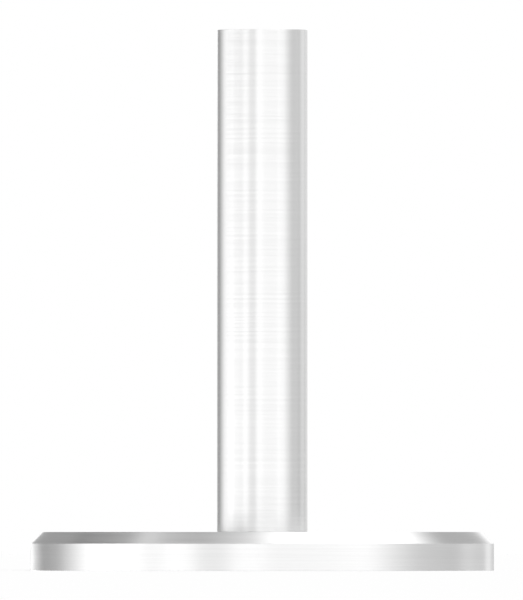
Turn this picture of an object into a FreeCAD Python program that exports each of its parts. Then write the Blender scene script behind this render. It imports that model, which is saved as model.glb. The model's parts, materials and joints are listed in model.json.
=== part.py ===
# Handrail support of brushed stainless steel: a round post standing on a round base disc.
# The post is turned from bar, and one countersunk socket screw, driven up from the disc's
# underside, holds it to the disc. Three countersunk holes fix the disc to the building. The
# tapped hole in the post's free end takes the saddle that carries the rail.
#
# Sizes are in millimetres. The origin is the centre of the disc's underside, +Z runs up
# the post, and every height is measured from that underside.

import FreeCAD, Part

import math
import os

from FreeCAD import Vector

# Base disc
DISC_DIAMETER = 72.0
DISC_THICKNESS = 6.0
DISC_CHAMFER = 1.8

# Holes that fix the disc to the building
FIXING_COUNT = 3
FIXING_EDGE_DISTANCE = 11.0
FIXING_HOLE_DIAMETER = 6.5
FIXING_SINK_DIAMETER = 12.4
FIRST_FIXING_ANGLE = 90.0

# Post
POST_DIAMETER = 14.0
POST_LENGTH = 78.0
TOP_HOLE_DEPTH = 20.0
DRILL_POINT_ANGLE = 118.0

# Coarse M8 thread, on the screw and in both ends of the post
THREAD_DIAMETER = 8.0
THREAD_PITCH = 1.25
THREAD_DEPTH_PER_PITCH = 0.613

# Countersunk socket screw
SCREW_LENGTH = 20.0
SCREW_TIP_CHAMFER = 0.8
SCREW_HEAD_DIAMETER = 16.0
SCREW_HEAD_RIM = 0.4
SOCKET_WIDTH = 5.0
SOCKET_DEPTH = 2.6
SOCKET_POINT_ANGLE = 120.0

# Fits
SCREW_HEAD_RECESS = 0.2
SCREW_HOLE_CLEARANCE = 0.2
SCREW_TIP_CLEARANCE = 3.0
TAP_ENTRY_CLEARANCE = 0.3

COUNTERSINK_ANGLE = 90.0
CUT_OVERRUN = 1.0

# What follows from the sizes above
SINK_SLOPE = math.tan(math.radians(COUNTERSINK_ANGLE / 2))
POST_FOOT = DISC_THICKNESS
POST_TOP = POST_FOOT + POST_LENGTH
SCREW_CONE_START = SCREW_HEAD_RECESS + SCREW_HEAD_RIM
SCREW_TIP = SCREW_HEAD_RECESS + SCREW_LENGTH


def revolved(outline):
    """The solid that a closed outline of (radius, height) points sweeps in one turn about Z."""
    points = [Vector(radius, 0, height) for radius, height in outline]
    face = Part.Face(Part.makePolygon(points + points[:1]))
    return face.revolve(Vector(0, 0, 0), Vector(0, 0, 1), 360)


def without(blank, cutters):
    """The blank with every cutter taken out of it, as one solid."""
    for cutter in cutters:
        blank = blank.cut(cutter)
    return blank.Solids[0]


def tip_depth(radius, point_angle):
    """How far a cone of this radius reaches from its base to its point."""
    return radius / math.tan(math.radians(point_angle / 2))


def sunk_hole(face, inward, wall, mouth, depth, tip=0):
    """A cutter for a round hole on the Z axis whose mouth opens in a cone.

    The hole starts at the height face and runs up where inward is 1, or down where it is -1.
    wall and mouth are the radii of the hole and of its mouth. depth is the length of the
    straight hole, and tip is how much further a drill's point reaches.
    """
    outside = face - inward * CUT_OVERRUN
    floor = face + inward * depth
    hole = revolved([
        (0, outside),
        (wall, outside),
        (wall, floor),
        (0, floor + inward * tip),
    ])
    cone = revolved([
        (0, outside),
        (mouth + CUT_OVERRUN * SINK_SLOPE, outside),
        (0, face + inward * mouth / SINK_SLOPE),
    ])
    return hole.fuse(cone)


def screw_seat():
    """The hole in the middle of the disc, countersunk from below so that the head seats flush."""
    return sunk_hole(
        face=0,
        inward=1,
        wall=THREAD_DIAMETER / 2 + SCREW_HOLE_CLEARANCE,
        mouth=SCREW_HEAD_DIAMETER / 2 + SCREW_CONE_START * SINK_SLOPE,
        depth=DISC_THICKNESS + CUT_OVERRUN,
    )


def fixing_hole(number):
    """One of the through holes round the disc, countersunk from above for a wood screw."""
    hole = sunk_hole(
        face=DISC_THICKNESS,
        inward=-1,
        wall=FIXING_HOLE_DIAMETER / 2,
        mouth=FIXING_SINK_DIAMETER / 2,
        depth=DISC_THICKNESS + CUT_OVERRUN,
    )
    reach = DISC_DIAMETER / 2 - FIXING_EDGE_DISTANCE
    angle = math.radians(FIRST_FIXING_ANGLE + 360 * number / FIXING_COUNT)
    hole.translate(Vector(reach * math.cos(angle), reach * math.sin(angle), 0))
    return hole


def base_disc():
    """The turned disc with its chamfered upper edge, the screw's seat and the fixing holes."""
    edge = DISC_DIAMETER / 2
    blank = revolved([
        (0, 0),
        (edge, 0),
        (edge, DISC_THICKNESS - DISC_CHAMFER),
        (edge - DISC_CHAMFER, DISC_THICKNESS),
        (0, DISC_THICKNESS),
    ])
    holes = [fixing_hole(number) for number in range(FIXING_COUNT)]
    return without(blank, [screw_seat()] + holes)


def tapped_hole(face, inward, depth):
    """A blind hole of the tap drill's size in an end of the post, with a countersunk mouth."""
    wall = (THREAD_DIAMETER - THREAD_PITCH) / 2
    mouth = THREAD_DIAMETER / 2 + TAP_ENTRY_CLEARANCE
    return sunk_hole(face, inward, wall, mouth, depth, tip_depth(wall, DRILL_POINT_ANGLE))


def post():
    """The round post with square-cut ends and a tapped hole in each of them."""
    radius = POST_DIAMETER / 2
    blank = revolved([
        (0, POST_FOOT),
        (radius, POST_FOOT),
        (radius, POST_TOP),
        (0, POST_TOP),
    ])
    foot_hole = tapped_hole(POST_FOOT, 1, SCREW_TIP + SCREW_TIP_CLEARANCE - POST_FOOT)
    top_hole = tapped_hole(POST_TOP, -1, TOP_HOLE_DEPTH)
    return without(blank, [foot_hole, top_hole])


def hex_socket():
    """The hexagon socket that a pointed punch leaves in the screw's head, open below.

    Its depth is that of its corners, and the punch's cone goes deeper towards the middle.
    """
    corner = SOCKET_WIDTH / math.sqrt(3)
    outside = SCREW_HEAD_RECESS - CUT_OVERRUN
    tip = SCREW_HEAD_RECESS + SOCKET_DEPTH + tip_depth(corner, SOCKET_POINT_ANGLE)
    spread = (tip - outside) * math.tan(math.radians(SOCKET_POINT_ANGLE / 2))
    turns = [math.radians(60 * number) for number in range(6)]
    corners = [Vector(corner * math.cos(turn), corner * math.sin(turn), outside) for turn in turns]
    hexagon = Part.Face(Part.makePolygon(corners + corners[:1]))
    cone = revolved([
        (0, outside),
        (spread, outside),
        (0, tip),
    ])
    return hexagon.extrude(Vector(0, 0, tip - outside)).common(cone)


def post_screw():
    """The countersunk socket screw, with a plain neck in the disc.

    Beyond the neck its shank has the root diameter of the thread.
    """
    head = SCREW_HEAD_DIAMETER / 2
    neck = THREAD_DIAMETER / 2
    root = neck - THREAD_DEPTH_PER_PITCH * THREAD_PITCH
    blank = revolved([
        (0, SCREW_HEAD_RECESS),
        (head, SCREW_HEAD_RECESS),
        (head, SCREW_CONE_START),
        (neck, SCREW_CONE_START + (head - neck) / SINK_SLOPE),
        (neck, POST_FOOT),
        (root, POST_FOOT),
        (root, SCREW_TIP - SCREW_TIP_CHAMFER),
        (root - SCREW_TIP_CHAMFER, SCREW_TIP),
        (0, SCREW_TIP),
    ])
    return without(blank, [hex_socket()])


PIECES = {
    "base_disc": base_disc,
    "post": post,
    "post_screw": post_screw,
}

os.makedirs("parts", exist_ok=True)
for name, make in PIECES.items():
    solid = make()
    solid.exportStep("parts/" + name + ".step")
    print(name, "valid", solid.isValid(), "volume", round(solid.Volume, 2), "mm3")
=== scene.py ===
import json
import math

import bmesh
import bpy
import numpy as np
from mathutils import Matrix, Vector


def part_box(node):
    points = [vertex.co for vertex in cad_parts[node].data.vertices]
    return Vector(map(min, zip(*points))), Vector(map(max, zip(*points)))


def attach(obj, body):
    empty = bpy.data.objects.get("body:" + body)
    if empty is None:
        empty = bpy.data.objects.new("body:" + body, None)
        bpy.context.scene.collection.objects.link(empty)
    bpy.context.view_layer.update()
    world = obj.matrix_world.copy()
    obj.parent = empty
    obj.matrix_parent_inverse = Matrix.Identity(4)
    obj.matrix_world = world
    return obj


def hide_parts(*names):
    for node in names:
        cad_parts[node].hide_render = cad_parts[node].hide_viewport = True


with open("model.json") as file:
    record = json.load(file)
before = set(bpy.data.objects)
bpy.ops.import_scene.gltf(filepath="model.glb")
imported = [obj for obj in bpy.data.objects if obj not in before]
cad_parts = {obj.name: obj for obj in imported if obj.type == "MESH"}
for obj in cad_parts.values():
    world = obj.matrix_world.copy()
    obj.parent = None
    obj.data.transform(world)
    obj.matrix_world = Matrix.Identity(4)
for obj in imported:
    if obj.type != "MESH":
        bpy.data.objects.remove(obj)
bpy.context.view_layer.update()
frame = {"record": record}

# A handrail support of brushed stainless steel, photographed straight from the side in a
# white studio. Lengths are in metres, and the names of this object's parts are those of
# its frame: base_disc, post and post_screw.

MM = 0.001
MOUNTS = {mount["name"]: mount for mount in frame["record"]["mounts"]}

# Sizes that the frame gives
DISC_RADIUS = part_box("base_disc")[1].x
DISC_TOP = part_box("base_disc")[1].z
POST_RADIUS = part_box("post")[1].x
POST_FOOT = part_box("post")[0].z
POST_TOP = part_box("post")[1].z
SCREW_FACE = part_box("post_screw")[0].z
SCREW_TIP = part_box("post_screw")[1].z
HEAD_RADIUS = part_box("post_screw")[1].x
HOLE_RADIUS = MOUNTS["fixing_holes"]["dims"]["hole_r_mm"] * MM
HOLE_COUNT = MOUNTS["fixing_holes"]["dims"]["count"]
HOLE_REACH = MOUNTS["fixing_holes"]["dims"]["pcd_mm"] / 2 * MM
BORE_RADIUS = MOUNTS["top_thread"]["dims"]["r_mm"] * MM

# Sizes that the frame doesn't give. SOCKET_FLAT is half the width across the flats, and the two
# points are half the angles of their cones.
CHAMFER = 1.8 * MM
SINK_RADIUS = 6.2 * MM
FIRST_HOLE_ANGLE = math.radians(90)
SEAT_RADIUS = 4.2 * MM
HEAD_RIM = 0.4 * MM
SOCKET_FLAT = 2.5 * MM
SOCKET_DEPTH = 2.6 * MM
SOCKET_POINT = math.radians(60)
DRILL_POINT = math.radians(59)
TOP_HOLE_DEPTH = 20 * MM
FOOT_HOLE_DEPTH = 17.2 * MM
THREAD_PITCH = 1.25 * MM
THREAD_FLANK = math.radians(30)
THREAD_CREST = 3.98 * MM
THREAD_ROOT = 3.234 * MM
THREAD_GAP = 0.03 * MM
THREAD_MOUTH = 4.3 * MM
THREAD_RUNOUT = 2.5 * MM
SCREW_TIP_CHAMFER = 0.8 * MM
EASE = 0.03 * MM

# How finely the surfaces are made
EASE_ROWS = 4
FACE_MARGIN = 0.5 * MM
FACE_ROWS = 5
SIDE_POINTS = 25
DISC_COLUMNS = 288
POST_COLUMNS = 192
SCREW_COLUMNS = 96
THREAD_ROWS = 12
SOCKET_FLOOR_ROWS = (0, 0.5, 1)
HEAD_FACE_ROWS = (0.1, 0.5, 1)
SEAM = 0.001 * MM
CREASE_ANGLE = math.radians(35)

# The steel's grain, whose noise lies mostly within GRAIN_RANGE
TURNING_AXIS = "turning_axis"
GROOVE_DEPTH = 0.002 * MM
BAND_SHARE = 0.45
GRAIN_RANGE = (0.3, 0.7)
NOISE_ROUGHNESS = 0.6
ROUGHNESS_SPREAD = 0.015
QUARTER_TURN = 0.25

# Where the photograph shows the part, in its own pixels
PHOTO_SIZE = (523, 600)
POST_TOP_ROW = 30.0
DISC_FOOT_ROW = 570.6
POST_AXIS_COLUMN = 262.25

# The camera's lens and sensor, in its own millimetres, and the nearest that it sees, in metres.
# A lens much longer than this leaves the views from other angles blank.
LENS = 1350
SENSOR = 36
NEAREST = 0.1


def place_camera():
    """A long lens level with the disc's upper face, framed as the photograph is.

    The photograph's pixel size follows from the part's height in it, and the distance from
    that pixel size: height of the frame / distance = sensor / lens.
    """
    pixel = POST_TOP / (DISC_FOOT_ROW - POST_TOP_ROW)
    aside = (PHOTO_SIZE[0] / 2 - POST_AXIS_COLUMN) * pixel
    middle = POST_TOP - (PHOTO_SIZE[1] / 2 - POST_TOP_ROW) * pixel
    distance = PHOTO_SIZE[1] * pixel * LENS / SENSOR
    data = bpy.data.cameras.new("camera")
    data.sensor_width = SENSOR
    data.lens = LENS
    data.clip_start = NEAREST
    data.clip_end = 2 * distance
    camera = bpy.data.objects.new("camera", data)
    camera.location = (aside, -distance, DISC_TOP)
    camera.rotation_euler = (math.pi / 2 + math.atan((middle - DISC_TOP) / distance), 0, 0)
    bpy.context.scene.collection.objects.link(camera)
    bpy.context.scene.camera = camera


def angles(columns, start=0.0, turn=2 * math.pi):
    """Evenly spaced angles from start through turn, with both ends in the row."""
    return start + np.linspace(0, turn, columns + 1)


def around(radius, turn, height):
    """Points about Z, from arrays or numbers: (radius cos turn, radius sin turn, height)."""
    return np.stack(np.broadcast_arrays(radius * np.cos(turn), radius * np.sin(turn), height), axis=-1)


def eased(corners):
    """A profile of (radius, height) rows whose inner corners are eased.

    With A and B the points at a distance EASE before and after a corner C, the corner becomes
    the curve (1 - s)^2 A + 2 s (1 - s) C + s^2 B, for s from 0 to 1. A row as far again
    outside A and B keeps the shading of the long faces flat.
    """
    corners = np.array(corners, float)
    middle = corners[1:-1]
    before = corners[:-2] - middle
    after = corners[2:] - middle
    before /= np.linalg.norm(before, axis=1, keepdims=True)
    after /= np.linalg.norm(after, axis=1, keepdims=True)
    s = np.linspace(0, 1, EASE_ROWS)[None, :, None]
    first = (middle + EASE * before)[:, None]
    last = (middle + EASE * after)[:, None]
    curve = (1 - s) ** 2 * first + 2 * s * (1 - s) * middle[:, None] + s ** 2 * last
    guard_before = (middle + 2 * EASE * before)[:, None]
    guard_after = (middle + 2 * EASE * after)[:, None]
    rows = np.concatenate([guard_before, curve, guard_after], axis=1).reshape(-1, 2)
    return np.concatenate([corners[:1], rows, corners[-1:]])


def turned(profile, turn):
    """The grid that a profile of (radius, height) rows sweeps about Z through these angles."""
    radius, height = np.array(profile, float).T[:, :, None]
    return around(radius, turn, height)


def thread_radius(height, turn, crest, root):
    """Radius of a right-handed 60 degree thread at this height and angle round the Z axis.

    away is the distance along the axis to the nearest crest, which climbs one pitch a turn.
    The radius is crest while away is under a sixteenth of the pitch, and from there it
    falls by away / tan 30 degrees until it is root.
    """
    turns = height / THREAD_PITCH - turn / (2 * math.pi)
    away = np.abs(turns - np.round(turns)) * THREAD_PITCH
    fall = (away - THREAD_PITCH / 16) / math.tan(THREAD_FLANK)
    return crest - np.clip(fall, 0, crest - root)


def helix_heights(low, high, turn):
    """Heights whose rows climb with the helix and are cut level at low and high.

    A row's height is row / THREAD_ROWS + turn / one turn, in pitches, kept within low and high.
    """
    first = math.floor(low / THREAD_PITCH) - 1
    last = math.ceil(high / THREAD_PITCH)
    rows = np.arange(first * THREAD_ROWS, last * THREAD_ROWS + 1) / THREAD_ROWS
    return np.clip((rows[:, None] + turn / (2 * math.pi)) * THREAD_PITCH, low, high)


def tapped_wall(mouth, inward, depth, turn):
    """The threaded wall of a tapped hole, from its mouth to where the thread runs out.

    It is the screw's thread a hair further out, no narrower than the drilled bore. At the
    mouth it is at least the countersink's radius, mouth radius - distance from the mouth, and
    over the run-out its crest sinks evenly to the bore.
    """
    end = mouth + inward * depth
    height = helix_heights(min(mouth, end), max(mouth, end), turn)
    left = np.clip(np.abs(end - height) / THREAD_RUNOUT, 0, 1)
    wall = thread_radius(height, turn, THREAD_CREST + THREAD_GAP, THREAD_ROOT + THREAD_GAP)
    wall = np.maximum(wall, BORE_RADIUS)
    wall = BORE_RADIUS + (wall - BORE_RADIUS) * left
    wall = np.maximum(wall, THREAD_MOUTH - np.abs(height - mouth))
    return around(wall, turn, height)


def drilled_end(mouth, inward, threaded, depth, turn):
    """The plain end of a tapped hole below its thread, with the cone that the drill leaves."""
    floor = mouth + inward * depth
    tip = floor + inward * BORE_RADIUS / math.tan(DRILL_POINT)
    return turned([(BORE_RADIUS, mouth + inward * threaded), (BORE_RADIUS, floor), (0, tip)], turn)


def closed_mesh(name, patches):
    """One closed mesh from patches, each a grid of rows by columns by (x, y, z) points.

    A patch may be a pair of such a grid and the (x, y, z) place of the upright axis that it was
    turned about, which is otherwise Z. Each cell of a grid is one face and keeps that place.
    Points that share a place are merged, which closes the seams and poles, and the faces are
    then turned to point outwards.
    """
    points = []
    faces = []
    axes = []
    start = 0
    for patch in patches:
        grid, axis = patch if isinstance(patch, tuple) else (patch, (0, 0, 0))
        rows, columns = grid.shape[:2]
        corner = start + (np.arange(rows - 1)[:, None] * columns + np.arange(columns - 1)).ravel()
        faces.append(np.stack([corner, corner + 1, corner + columns + 1, corner + columns], axis=1))
        axes.append(np.broadcast_to(axis, (corner.size, 3)))
        points.append(grid.reshape(-1, 3))
        start += rows * columns
    mesh = bpy.data.meshes.new(name)
    mesh.from_pydata(np.concatenate(points).tolist(), [], np.concatenate(faces).tolist())
    turning = mesh.attributes.new(TURNING_AXIS, "FLOAT_VECTOR", "FACE")
    turning.data.foreach_set("vector", np.concatenate(axes).ravel())
    shape = bmesh.new()
    shape.from_mesh(mesh)
    bmesh.ops.remove_doubles(shape, verts=shape.verts, dist=SEAM)
    bmesh.ops.recalc_face_normals(shape, faces=shape.faces)
    shape.to_mesh(mesh)
    shape.free()
    mesh.shade_smooth()
    mesh.set_sharp_from_angle(angle=CREASE_ANGLE)
    return mesh


def add_piece(name, patches, node, finish):
    """A piece of the part that stands for a node of the frame and moves with it."""
    piece = bpy.data.objects.new(name, closed_mesh(name, patches))
    piece.data.materials.append(finish)
    bpy.context.scene.collection.objects.link(piece)
    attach(piece, "root")
    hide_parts(node)


def hole_axis(number):
    """The place of a fixing hole's axis."""
    turn = FIRST_HOLE_ANGLE + 2 * math.pi / HOLE_COUNT * number
    return np.array([HOLE_REACH * math.cos(turn), HOLE_REACH * math.sin(turn), 0])


def sector_outline(inner, outer, start, turn):
    """The outline of a piece of a ring, once round, with as many points along both arcs.

    The outer arc runs from start through turn, a straight side goes in, the inner arc runs
    back, and a straight side goes out again.
    """
    arc = angles(DISC_COLUMNS // HOLE_COUNT, start, turn)
    side = np.linspace(outer, inner, SIDE_POINTS)
    radius = np.concatenate([np.full(arc.size, outer), side, np.full(arc.size, inner), side[::-1]])
    angle = np.concatenate([arc, np.full(side.size, arc[-1]), arc[::-1], np.full(side.size, arc[0])])
    return np.stack([radius * np.cos(angle), radius * np.sin(angle)], axis=-1)


def holed_face(height, inner, outer, rim, number):
    """One sector of the disc's flat face, with its fixing hole left out, and the hole's angles.

    A point is (1 - s) times the hole's rim plus s times the sector's outline, where the rim's
    angle is that from the hole's centre to the outline's point.
    """
    sector = 2 * math.pi / HOLE_COUNT
    centre = hole_axis(number)[:2]
    outline = sector_outline(inner, outer, FIRST_HOLE_ANGLE + sector * (number - 0.5), sector)
    turn = np.arctan2(*(outline - centre).T[::-1])
    edge = centre + rim * np.stack([np.cos(turn), np.sin(turn)], axis=-1)
    s = np.linspace(0, 1, FACE_ROWS)[:, None, None]
    flat = (1 - s) * edge + s * outline
    return np.concatenate([flat, np.full(flat.shape[:2] + (1,), height)], axis=-1), turn


def fixing_hole(number, turn_above, turn_below):
    """A countersunk hole, turned about its own axis between the two faces' angles for it.

    From row to row its angles go evenly from the upper face's to the lower face's, by the
    shorter way round.
    """
    profile = eased([
        (SINK_RADIUS + FACE_MARGIN, DISC_TOP),
        (SINK_RADIUS, DISC_TOP),
        (HOLE_RADIUS, DISC_TOP - (SINK_RADIUS - HOLE_RADIUS)),
        (HOLE_RADIUS, 0),
        (HOLE_RADIUS + FACE_MARGIN, 0),
    ])
    share = np.linspace(0, 1, len(profile))[:, None]
    drift = np.angle(np.exp(1j * (turn_below - turn_above)))
    return around(profile[:, :1], turn_above + share * drift, profile[:, 1:]) + hole_axis(number)


def disc_patches():
    """The base disc: its turned rim, the screw's seat, the fixing holes and both flat faces.

    The chamfer, the seat and the countersinks are all cones at 45 degrees.
    """
    seat_mouth = HEAD_RADIUS + SCREW_FACE + HEAD_RIM
    turn = angles(DISC_COLUMNS, FIRST_HOLE_ANGLE - math.pi / HOLE_COUNT)
    rim = eased([
        (DISC_RADIUS - CHAMFER - FACE_MARGIN, DISC_TOP),
        (DISC_RADIUS - CHAMFER, DISC_TOP),
        (DISC_RADIUS, DISC_TOP - CHAMFER),
        (DISC_RADIUS, 0),
        (DISC_RADIUS - FACE_MARGIN, 0),
    ])
    seat = eased([
        (SEAT_RADIUS + FACE_MARGIN, DISC_TOP),
        (SEAT_RADIUS, DISC_TOP),
        (SEAT_RADIUS, seat_mouth - SEAT_RADIUS),
        (seat_mouth, 0),
        (seat_mouth + FACE_MARGIN, 0),
    ])
    patches = [turned(rim, turn), turned(seat, turn)]
    for number in range(HOLE_COUNT):
        above, turn_above = holed_face(
            DISC_TOP, seat[0, 0], rim[0, 0], SINK_RADIUS + FACE_MARGIN, number)
        below, turn_below = holed_face(
            0, seat[-1, 0], rim[-1, 0], HOLE_RADIUS + FACE_MARGIN, number)
        hole = fixing_hole(number, turn_above, turn_below)
        patches += [above, below, (hole, hole_axis(number))]
    return patches


def post_patches():
    """The post: its outside from mouth to mouth, and a tapped hole in each end."""
    turn = angles(POST_COLUMNS)
    outside = eased([
        (THREAD_MOUTH, POST_FOOT),
        (POST_RADIUS, POST_FOOT),
        (POST_RADIUS, POST_TOP),
        (THREAD_MOUTH, POST_TOP),
    ])
    patches = [turned(outside, turn)]
    for mouth, inward, depth in ((POST_FOOT, 1, FOOT_HOLE_DEPTH), (POST_TOP, -1, TOP_HOLE_DEPTH)):
        threaded = depth - THREAD_PITCH
        patches.append(tapped_wall(mouth, inward, threaded, turn))
        patches.append(drilled_end(mouth, inward, threaded, depth, turn))
    return patches


def socket_patch(turn):
    """The screw's hexagon socket and the flat face round it, from the floor's tip outwards.

    The hexagon's radius is its half width across the flats / cos(angle from the nearest flat).
    The floor is a cone, where s goes from its tip to the walls. Over the flat face s goes from
    the socket's edge to the head's.
    """
    corner = SOCKET_FLAT / math.cos(math.pi / 6)
    hexagon = SOCKET_FLAT / np.cos(np.mod(turn, math.pi / 3) - math.pi / 6)
    tip = SCREW_FACE + SOCKET_DEPTH + corner / math.tan(SOCKET_POINT)
    s = np.array(SOCKET_FLOOR_ROWS)[:, None]
    floor = around(s * hexagon, turn, tip - s * hexagon / math.tan(SOCKET_POINT))
    wall = [around(hexagon, turn, SCREW_FACE + EASE), around(hexagon + EASE, turn, SCREW_FACE)]
    s = np.array(HEAD_FACE_ROWS)[:, None]
    face = around((1 - s) * (hexagon + EASE) + s * (HEAD_RADIUS - FACE_MARGIN), turn, SCREW_FACE)
    return np.concatenate([floor, wall, face])


def screw_patches():
    """The countersunk screw: its socket, its head and neck, its thread and its tip.

    The thread grows out of the neck over one pitch, and a 45 degree cone cuts it at the tip.
    """
    turn = angles(SCREW_COLUMNS)
    neck = THREAD_CREST
    neck_end = POST_FOOT - THREAD_PITCH / 2
    head = turned(eased([
        (HEAD_RADIUS - FACE_MARGIN, SCREW_FACE),
        (HEAD_RADIUS, SCREW_FACE),
        (HEAD_RADIUS, SCREW_FACE + HEAD_RIM),
        (neck, SCREW_FACE + HEAD_RIM + HEAD_RADIUS - neck),
        (neck, neck_end),
    ]), turn)
    height = helix_heights(neck_end, SCREW_TIP, turn)
    grown = np.clip((height - neck_end) / THREAD_PITCH, 0, 1)
    shank = thread_radius(height, turn, THREAD_CREST, THREAD_ROOT)
    shank = THREAD_CREST + (shank - THREAD_CREST) * grown
    shank = np.minimum(shank, THREAD_ROOT - SCREW_TIP_CHAMFER + SCREW_TIP - height)
    end = turned([(THREAD_ROOT - SCREW_TIP_CHAMFER, SCREW_TIP), (0, SCREW_TIP)], turn)
    return [socket_patch(turn), head, around(shank, turn, height), end]


class Nodes:
    """A short way to write a node tree: each call adds a node, sets it and wires it."""

    def __init__(self, tree):
        self.tree = tree
        tree.nodes.clear()

    def add(self, kind, settings=None, **inputs):
        """A node of this kind. An input is named, or numbered as _0, and is wired or set."""
        node = self.tree.nodes.new(kind)
        for name, value in (settings or {}).items():
            setattr(node, name, value)
        for name, value in inputs.items():
            key = int(name[1:]) if name[0] == "_" else name.replace("_", " ")
            if isinstance(value, bpy.types.NodeSocket):
                self.tree.links.new(value, node.inputs[key])
            else:
                node.inputs[key].default_value = value
        return node

    def math(self, operation, first, second=0.0):
        """One sum of numbers."""
        return self.add("ShaderNodeMath", {"operation": operation}, _0=first, _1=second).outputs[0]

    def vector(self, operation, first, second=(0, 0, 0)):
        """One sum of vectors, whose result is a vector, or a number for a length."""
        node = self.add("ShaderNodeVectorMath", {"operation": operation}, _0=first, _1=second)
        return node.outputs["Value" if operation == "LENGTH" else "Vector"]

    def mix(self, share, first, second):
        """first where share is 0, second where it is 1, and a blend of the two between."""
        return self.add("ShaderNodeMix", Factor=share, _2=first, _3=second).outputs[0]

    def ramp(self, value, low, high, to_low, to_high):
        """value between low and high as a soft step between to_low and to_high."""
        return self.add(
            "ShaderNodeMapRange", {"interpolation_type": "SMOOTHSTEP"},
            Value=value, From_Min=low, From_Max=high, To_Min=to_low, To_Max=to_high).outputs[0]


def turned_steel(name, level, roughness, anisotropy, contrast):
    """Stainless steel with a fine grain of grooves that run round each surface's turning axis.

    The grain is noise in four dimensions. Its place changes quickly with the height and with
    the distance from the axis, and slowly with x and y, so each groove is long, follows the
    surface round the axis and has no seam. It holds on walls, chamfers and flat faces alike.
    The steel's colour is grey of this level, darker in the grooves and lighter between them by
    contrast times it. Its gloss is drawn out across the grooves.
    """
    material = bpy.data.materials.new(name)
    material.use_nodes = True
    nodes = Nodes(material.node_tree)
    place = nodes.add("ShaderNodeTexCoord").outputs["Object"]
    axis = nodes.add("ShaderNodeAttribute", {"attribute_name": TURNING_AXIS}).outputs["Vector"]
    from_axis = nodes.vector("SUBTRACT", place, axis)
    outwards = nodes.vector("MULTIPLY", from_axis, (1, 1, 0))
    radius = nodes.vector("LENGTH", outwards)
    tangent = nodes.vector("NORMALIZE", nodes.vector("CROSS_PRODUCT", (0, 0, 1), outwards))

    def grain(along, across):
        """Noise that changes along times a metre round the axis and across times over it."""
        return nodes.add(
            "ShaderNodeTexNoise", {"noise_dimensions": "4D"},
            Vector=nodes.vector("MULTIPLY", from_axis, (along, along, across)),
            W=nodes.math("MULTIPLY", radius, across),
            Scale=1.0, Detail=1.0, Roughness=NOISE_ROUGHNESS).outputs[0]

    bands = nodes.math("MULTIPLY", grain(along=15, across=2000), BAND_SHARE)
    grooves = grain(along=60, across=4500)
    height = nodes.math("ADD", bands, nodes.math("MULTIPLY", grooves, 1 - BAND_SHARE))
    tone = nodes.ramp(height, *GRAIN_RANGE, level * (1 - contrast), level * (1 + contrast))
    surface = nodes.add(
        "ShaderNodeBsdfPrincipled",
        Base_Color=nodes.add("ShaderNodeCombineColor", Red=tone, Green=tone, Blue=tone).outputs[0],
        Metallic=1.0,
        Roughness=nodes.ramp(
            grooves, *GRAIN_RANGE, roughness - ROUGHNESS_SPREAD, roughness + ROUGHNESS_SPREAD),
        Anisotropic=anisotropy,
        Anisotropic_Rotation=QUARTER_TURN,
        Normal=nodes.add(
            "ShaderNodeBump", Strength=1.0, Distance=GROOVE_DEPTH, Height=height).outputs[0],
        Tangent=tangent)
    nodes.add("ShaderNodeOutputMaterial", Surface=surface.outputs[0])
    return material


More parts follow.
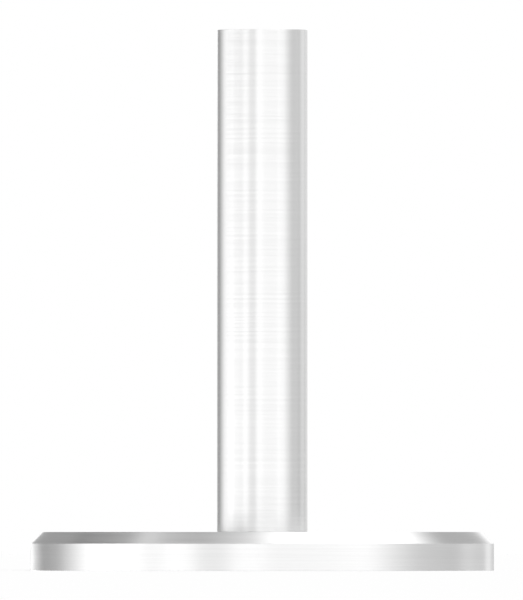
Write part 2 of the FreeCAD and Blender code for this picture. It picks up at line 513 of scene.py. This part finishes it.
# The room that the steel mirrors is white, with grey cards. A card is its level, its edges in
# azimuth and its edges in elevation. The edges are in degrees, with azimuth 0 on the camera's
# side and 90 on the right, and say where the card fades in, where it is full, until where it is
# full and where it is gone. Each card is laid over those before it.
# The low room and the front ceiling are darker than the room itself, so that the walls stand out
# from the floor in a view from above, and the disc's face in a view from behind. The rear card
# brings both sides to about one level where they meet. The cards at the horizon are those that
# the post mirrors, for its grain spreads the light less than the disc's does.
ROOM_LEVEL = 1.20
CARDS = {
    "low_room": (0.50, (-181, -180, 180, 181), (-91, -90, -34, -15)),
    "front_ceiling": (0.75, (-95, -70, 70, 95), (14, 27, 60, 74)),
    "front_band": (1.46, (-122, -84, 56, 92), (-34, -15, 14, 27)),
    "horizon": (1.03, (-181, -180, 180, 181), (-7, -3, 3, 7)),
    "right_ceiling": (1.60, (10, 60, 150, 175), (44, 49, 87, 91)),
    "left_ceiling": (0.345, (-180, -179, -12, 0), (53, 65, 72, 87)),
    "zenith": (1.60, (-181, -180, 180, 181), (84, 89, 91, 92)),
    "back_left_low": (0.28, (-156, -142, -129, -99), (-30, -20, -5, -2)),
    "back_left_middle": (0.28, (-156, -142, -129, -99), (2, 5, 20, 30)),
    "back_left_glow": (2.35, (-181, -175, -166, -148), (-30, -24, 2, 5)),
    "back_left_upper": (0.34, (-181, -170, -125, -95), (3, 8, 40, 50)),
    "back_left_top": (0.14, (-160, -148, -120, -95), (30, 38, 54, 62)),
    "back_left_crown": (0.05, (-160, -148, -115, -95), (42, 49, 51, 59)),
    "left_side": (1.235, (-67, -60, -54, -47), (-34, -15, 14, 27)),
    "front_left_strip": (1.065, (-38, -29, -22, -11), (-34, -15, 14, 27)),
    "front_right": (1.21, (-4, 8, 43, 55), (-34, -15, 14, 27)),
    "right_side": (0.59, (40, 98, 181, 182), (-50, -24, 25, 40)),
    "right_glint": (0.72, (116, 125, 128, 136), (-60, -30, 20, 30)),
    "back_right_strip": (0.87, (145, 151, 157, 164), (-60, -30, 10, 16)),
    "back_right_upper": (0.45, (100, 130, 181, 182), (10, 25, 37, 49.5)),
    "back_right_glow": (1.22, (160, 172, 181, 182), (1.5, 3, 8, 19)),
    "rear": (1.10, (173, 180, 181, 182), (-60, -30, 20, 40)),
    "horizon_left_rear": (0.32, (-178, -152, -149, -113), (-5, -2.5, 2.5, 5)),
    "horizon_back_left": (0.35, (-181, -180, -158, -150), (-1.6, -0.8, 0.8, 1.6)),
    "horizon_left_gap": (1.11, (-122, -113, -104, -94), (-6, -3, 3, 6)),
    "horizon_left": (0.885, (-84, -72, -54, -40), (-6, -3, 3, 6)),
    "horizon_front_left": (0.785, (-48, -29, -22, -6), (-6, -3, 3, 6)),
    "horizon_front_right": (0.98, (-11, 2, 36, 48), (-6, -3, 3, 6)),
    "horizon_right_gap": (0.99, (40, 50, 53, 65), (-6, -3, 3, 6)),
    "horizon_right": (0.70, (76, 95, 102, 114), (-6, -3, 3, 6)),
    "horizon_right_rear": (0.80, (106, 122, 134, 150), (-6, -3, 3, 6)),
}

# Near the horizon the room's level also changes with the elevation, so that the post's tone drifts
# from its foot to its top. A step is its gain and its edges in azimuth, given as a card's are. The
# level is multiplied by 2 - gain below the first of STEP_EDGES, by gain above the second, and
# softly in between. STEP_BAND is where all the steps fade in and out in elevation.
STEPS = {
    "left_step": (0.32, (-106, -90, -58, -8)),
    "right_fall": (0.70, (25, 40, 72, 85)),
    "right_rise": (1.35, (92, 106, 135, 160)),
}
STEP_EDGES = (-0.4, 1.7)
STEP_BAND = (-8, -5, 5, 8)

# What the room is to the camera, and what it is to matt surfaces
BACKGROUND_LEVEL = 1.0
MATT_LEVEL = 0.6

# The key light, and the floor with the glow that it has for the camera alone
KEY_LEVEL = 1.6
KEY_SPREAD = math.radians(30)
KEY_TURN = (math.radians(35), math.radians(20), 0)
FLOOR_SIDES = 96
FLOOR_RADIUS = 2.5
FLOOR_LEVEL = 0.8
FLOOR_GLOW = 0.2


def light_room():
    """The world: plain to the camera and to matt surfaces, and with its cards to the steel."""
    world = bpy.data.worlds.new("studio")
    world.use_nodes = True
    bpy.context.scene.world = world
    nodes = Nodes(world.node_tree)
    direction = nodes.add("ShaderNodeTexCoord").outputs["Generated"]
    x, y, z = nodes.add("ShaderNodeSeparateXYZ", _0=direction).outputs
    azimuth = nodes.math("ARCTAN2", x, nodes.math("MULTIPLY", y, -1.0))
    elevation = nodes.math("ARCSINE", z)

    def window(across, up):
        """1 within these edges in azimuth and in elevation, 0 outside them, and soft between."""
        share = 1.0
        for angle, edges in ((azimuth, across), (elevation, up)):
            fade_in, full, full_until, gone = np.radians(edges)
            share = nodes.math("MULTIPLY", share, nodes.ramp(angle, fade_in, full, 0, 1))
            share = nodes.math("MULTIPLY", share, nodes.ramp(angle, full_until, gone, 1, 0))
        return share

    seen = ROOM_LEVEL
    for level, across, up in CARDS.values():
        seen = nodes.mix(window(across, up), seen, level)
    for gain, across in STEPS.values():
        step = nodes.ramp(elevation, *np.radians(STEP_EDGES), 2 - gain, gain)
        seen = nodes.math("MULTIPLY", seen, nodes.mix(window(across, STEP_BAND), 1.0, step))
    rays = nodes.add("ShaderNodeLightPath").outputs
    mirrored = nodes.math("MAXIMUM", rays["Is Glossy Ray"], rays["Is Transmission Ray"])
    shown = nodes.mix(rays["Is Camera Ray"], MATT_LEVEL, BACKGROUND_LEVEL)
    shown = nodes.mix(mirrored, shown, seen)
    background = nodes.add("ShaderNodeBackground", Color=(1, 1, 1, 1), Strength=shown)
    nodes.add("ShaderNodeOutputWorld", Surface=background.outputs[0])


def hang_key_light():
    """A soft light for the floor's shadow, which the steel doesn't mirror."""
    data = bpy.data.lights.new("key_light", "SUN")
    data.energy = KEY_LEVEL
    data.angle = KEY_SPREAD
    lamp = bpy.data.objects.new("key_light", data)
    lamp.rotation_euler = KEY_TURN
    lamp.visible_glossy = False
    bpy.context.scene.collection.objects.link(lamp)


def lay_floor():
    """A plain white floor that keeps the part's soft shadow."""
    bpy.ops.mesh.primitive_circle_add(
        vertices=FLOOR_SIDES, radius=FLOOR_RADIUS, fill_type="NGON", location=(0, 0, 0))
    floor = bpy.context.object
    floor.name = "floor"
    floor.visible_glossy = False
    material = bpy.data.materials.new("floor_white")
    material.use_nodes = True
    nodes = Nodes(material.node_tree)
    colour = (FLOOR_LEVEL, FLOOR_LEVEL, FLOOR_LEVEL, 1)
    matt = nodes.add("ShaderNodeBsdfDiffuse", Color=colour).outputs[0]
    rays = nodes.add("ShaderNodeLightPath").outputs
    glow = nodes.math("MULTIPLY", rays["Is Camera Ray"], FLOOR_GLOW)
    glow = nodes.add("ShaderNodeEmission", Strength=glow).outputs[0]
    both = nodes.add("ShaderNodeAddShader", _0=matt, _1=glow).outputs[0]
    nodes.add("ShaderNodeOutputMaterial", Surface=both)
    floor.data.materials.append(material)


place_camera()
light_room()
hang_key_light()
lay_floor()
disc_steel = turned_steel("turned_plate", level=0.941, roughness=0.3, anisotropy=0.97, contrast=0.031)
post_steel = turned_steel("turned_bar", level=0.885, roughness=0.2, anisotropy=0.61, contrast=0.0205)
screw_steel = turned_steel("screw_stainless", level=0.82, roughness=0.3, anisotropy=0.3, contrast=0.025)
add_piece("brushed_disc", disc_patches(), "base_disc", disc_steel)
add_piece("brushed_post", post_patches(), "post", post_steel)
add_piece("threaded_screw", screw_patches(), "post_screw", screw_steel)

bpy.context.scene.view_settings.view_transform = "Standard"
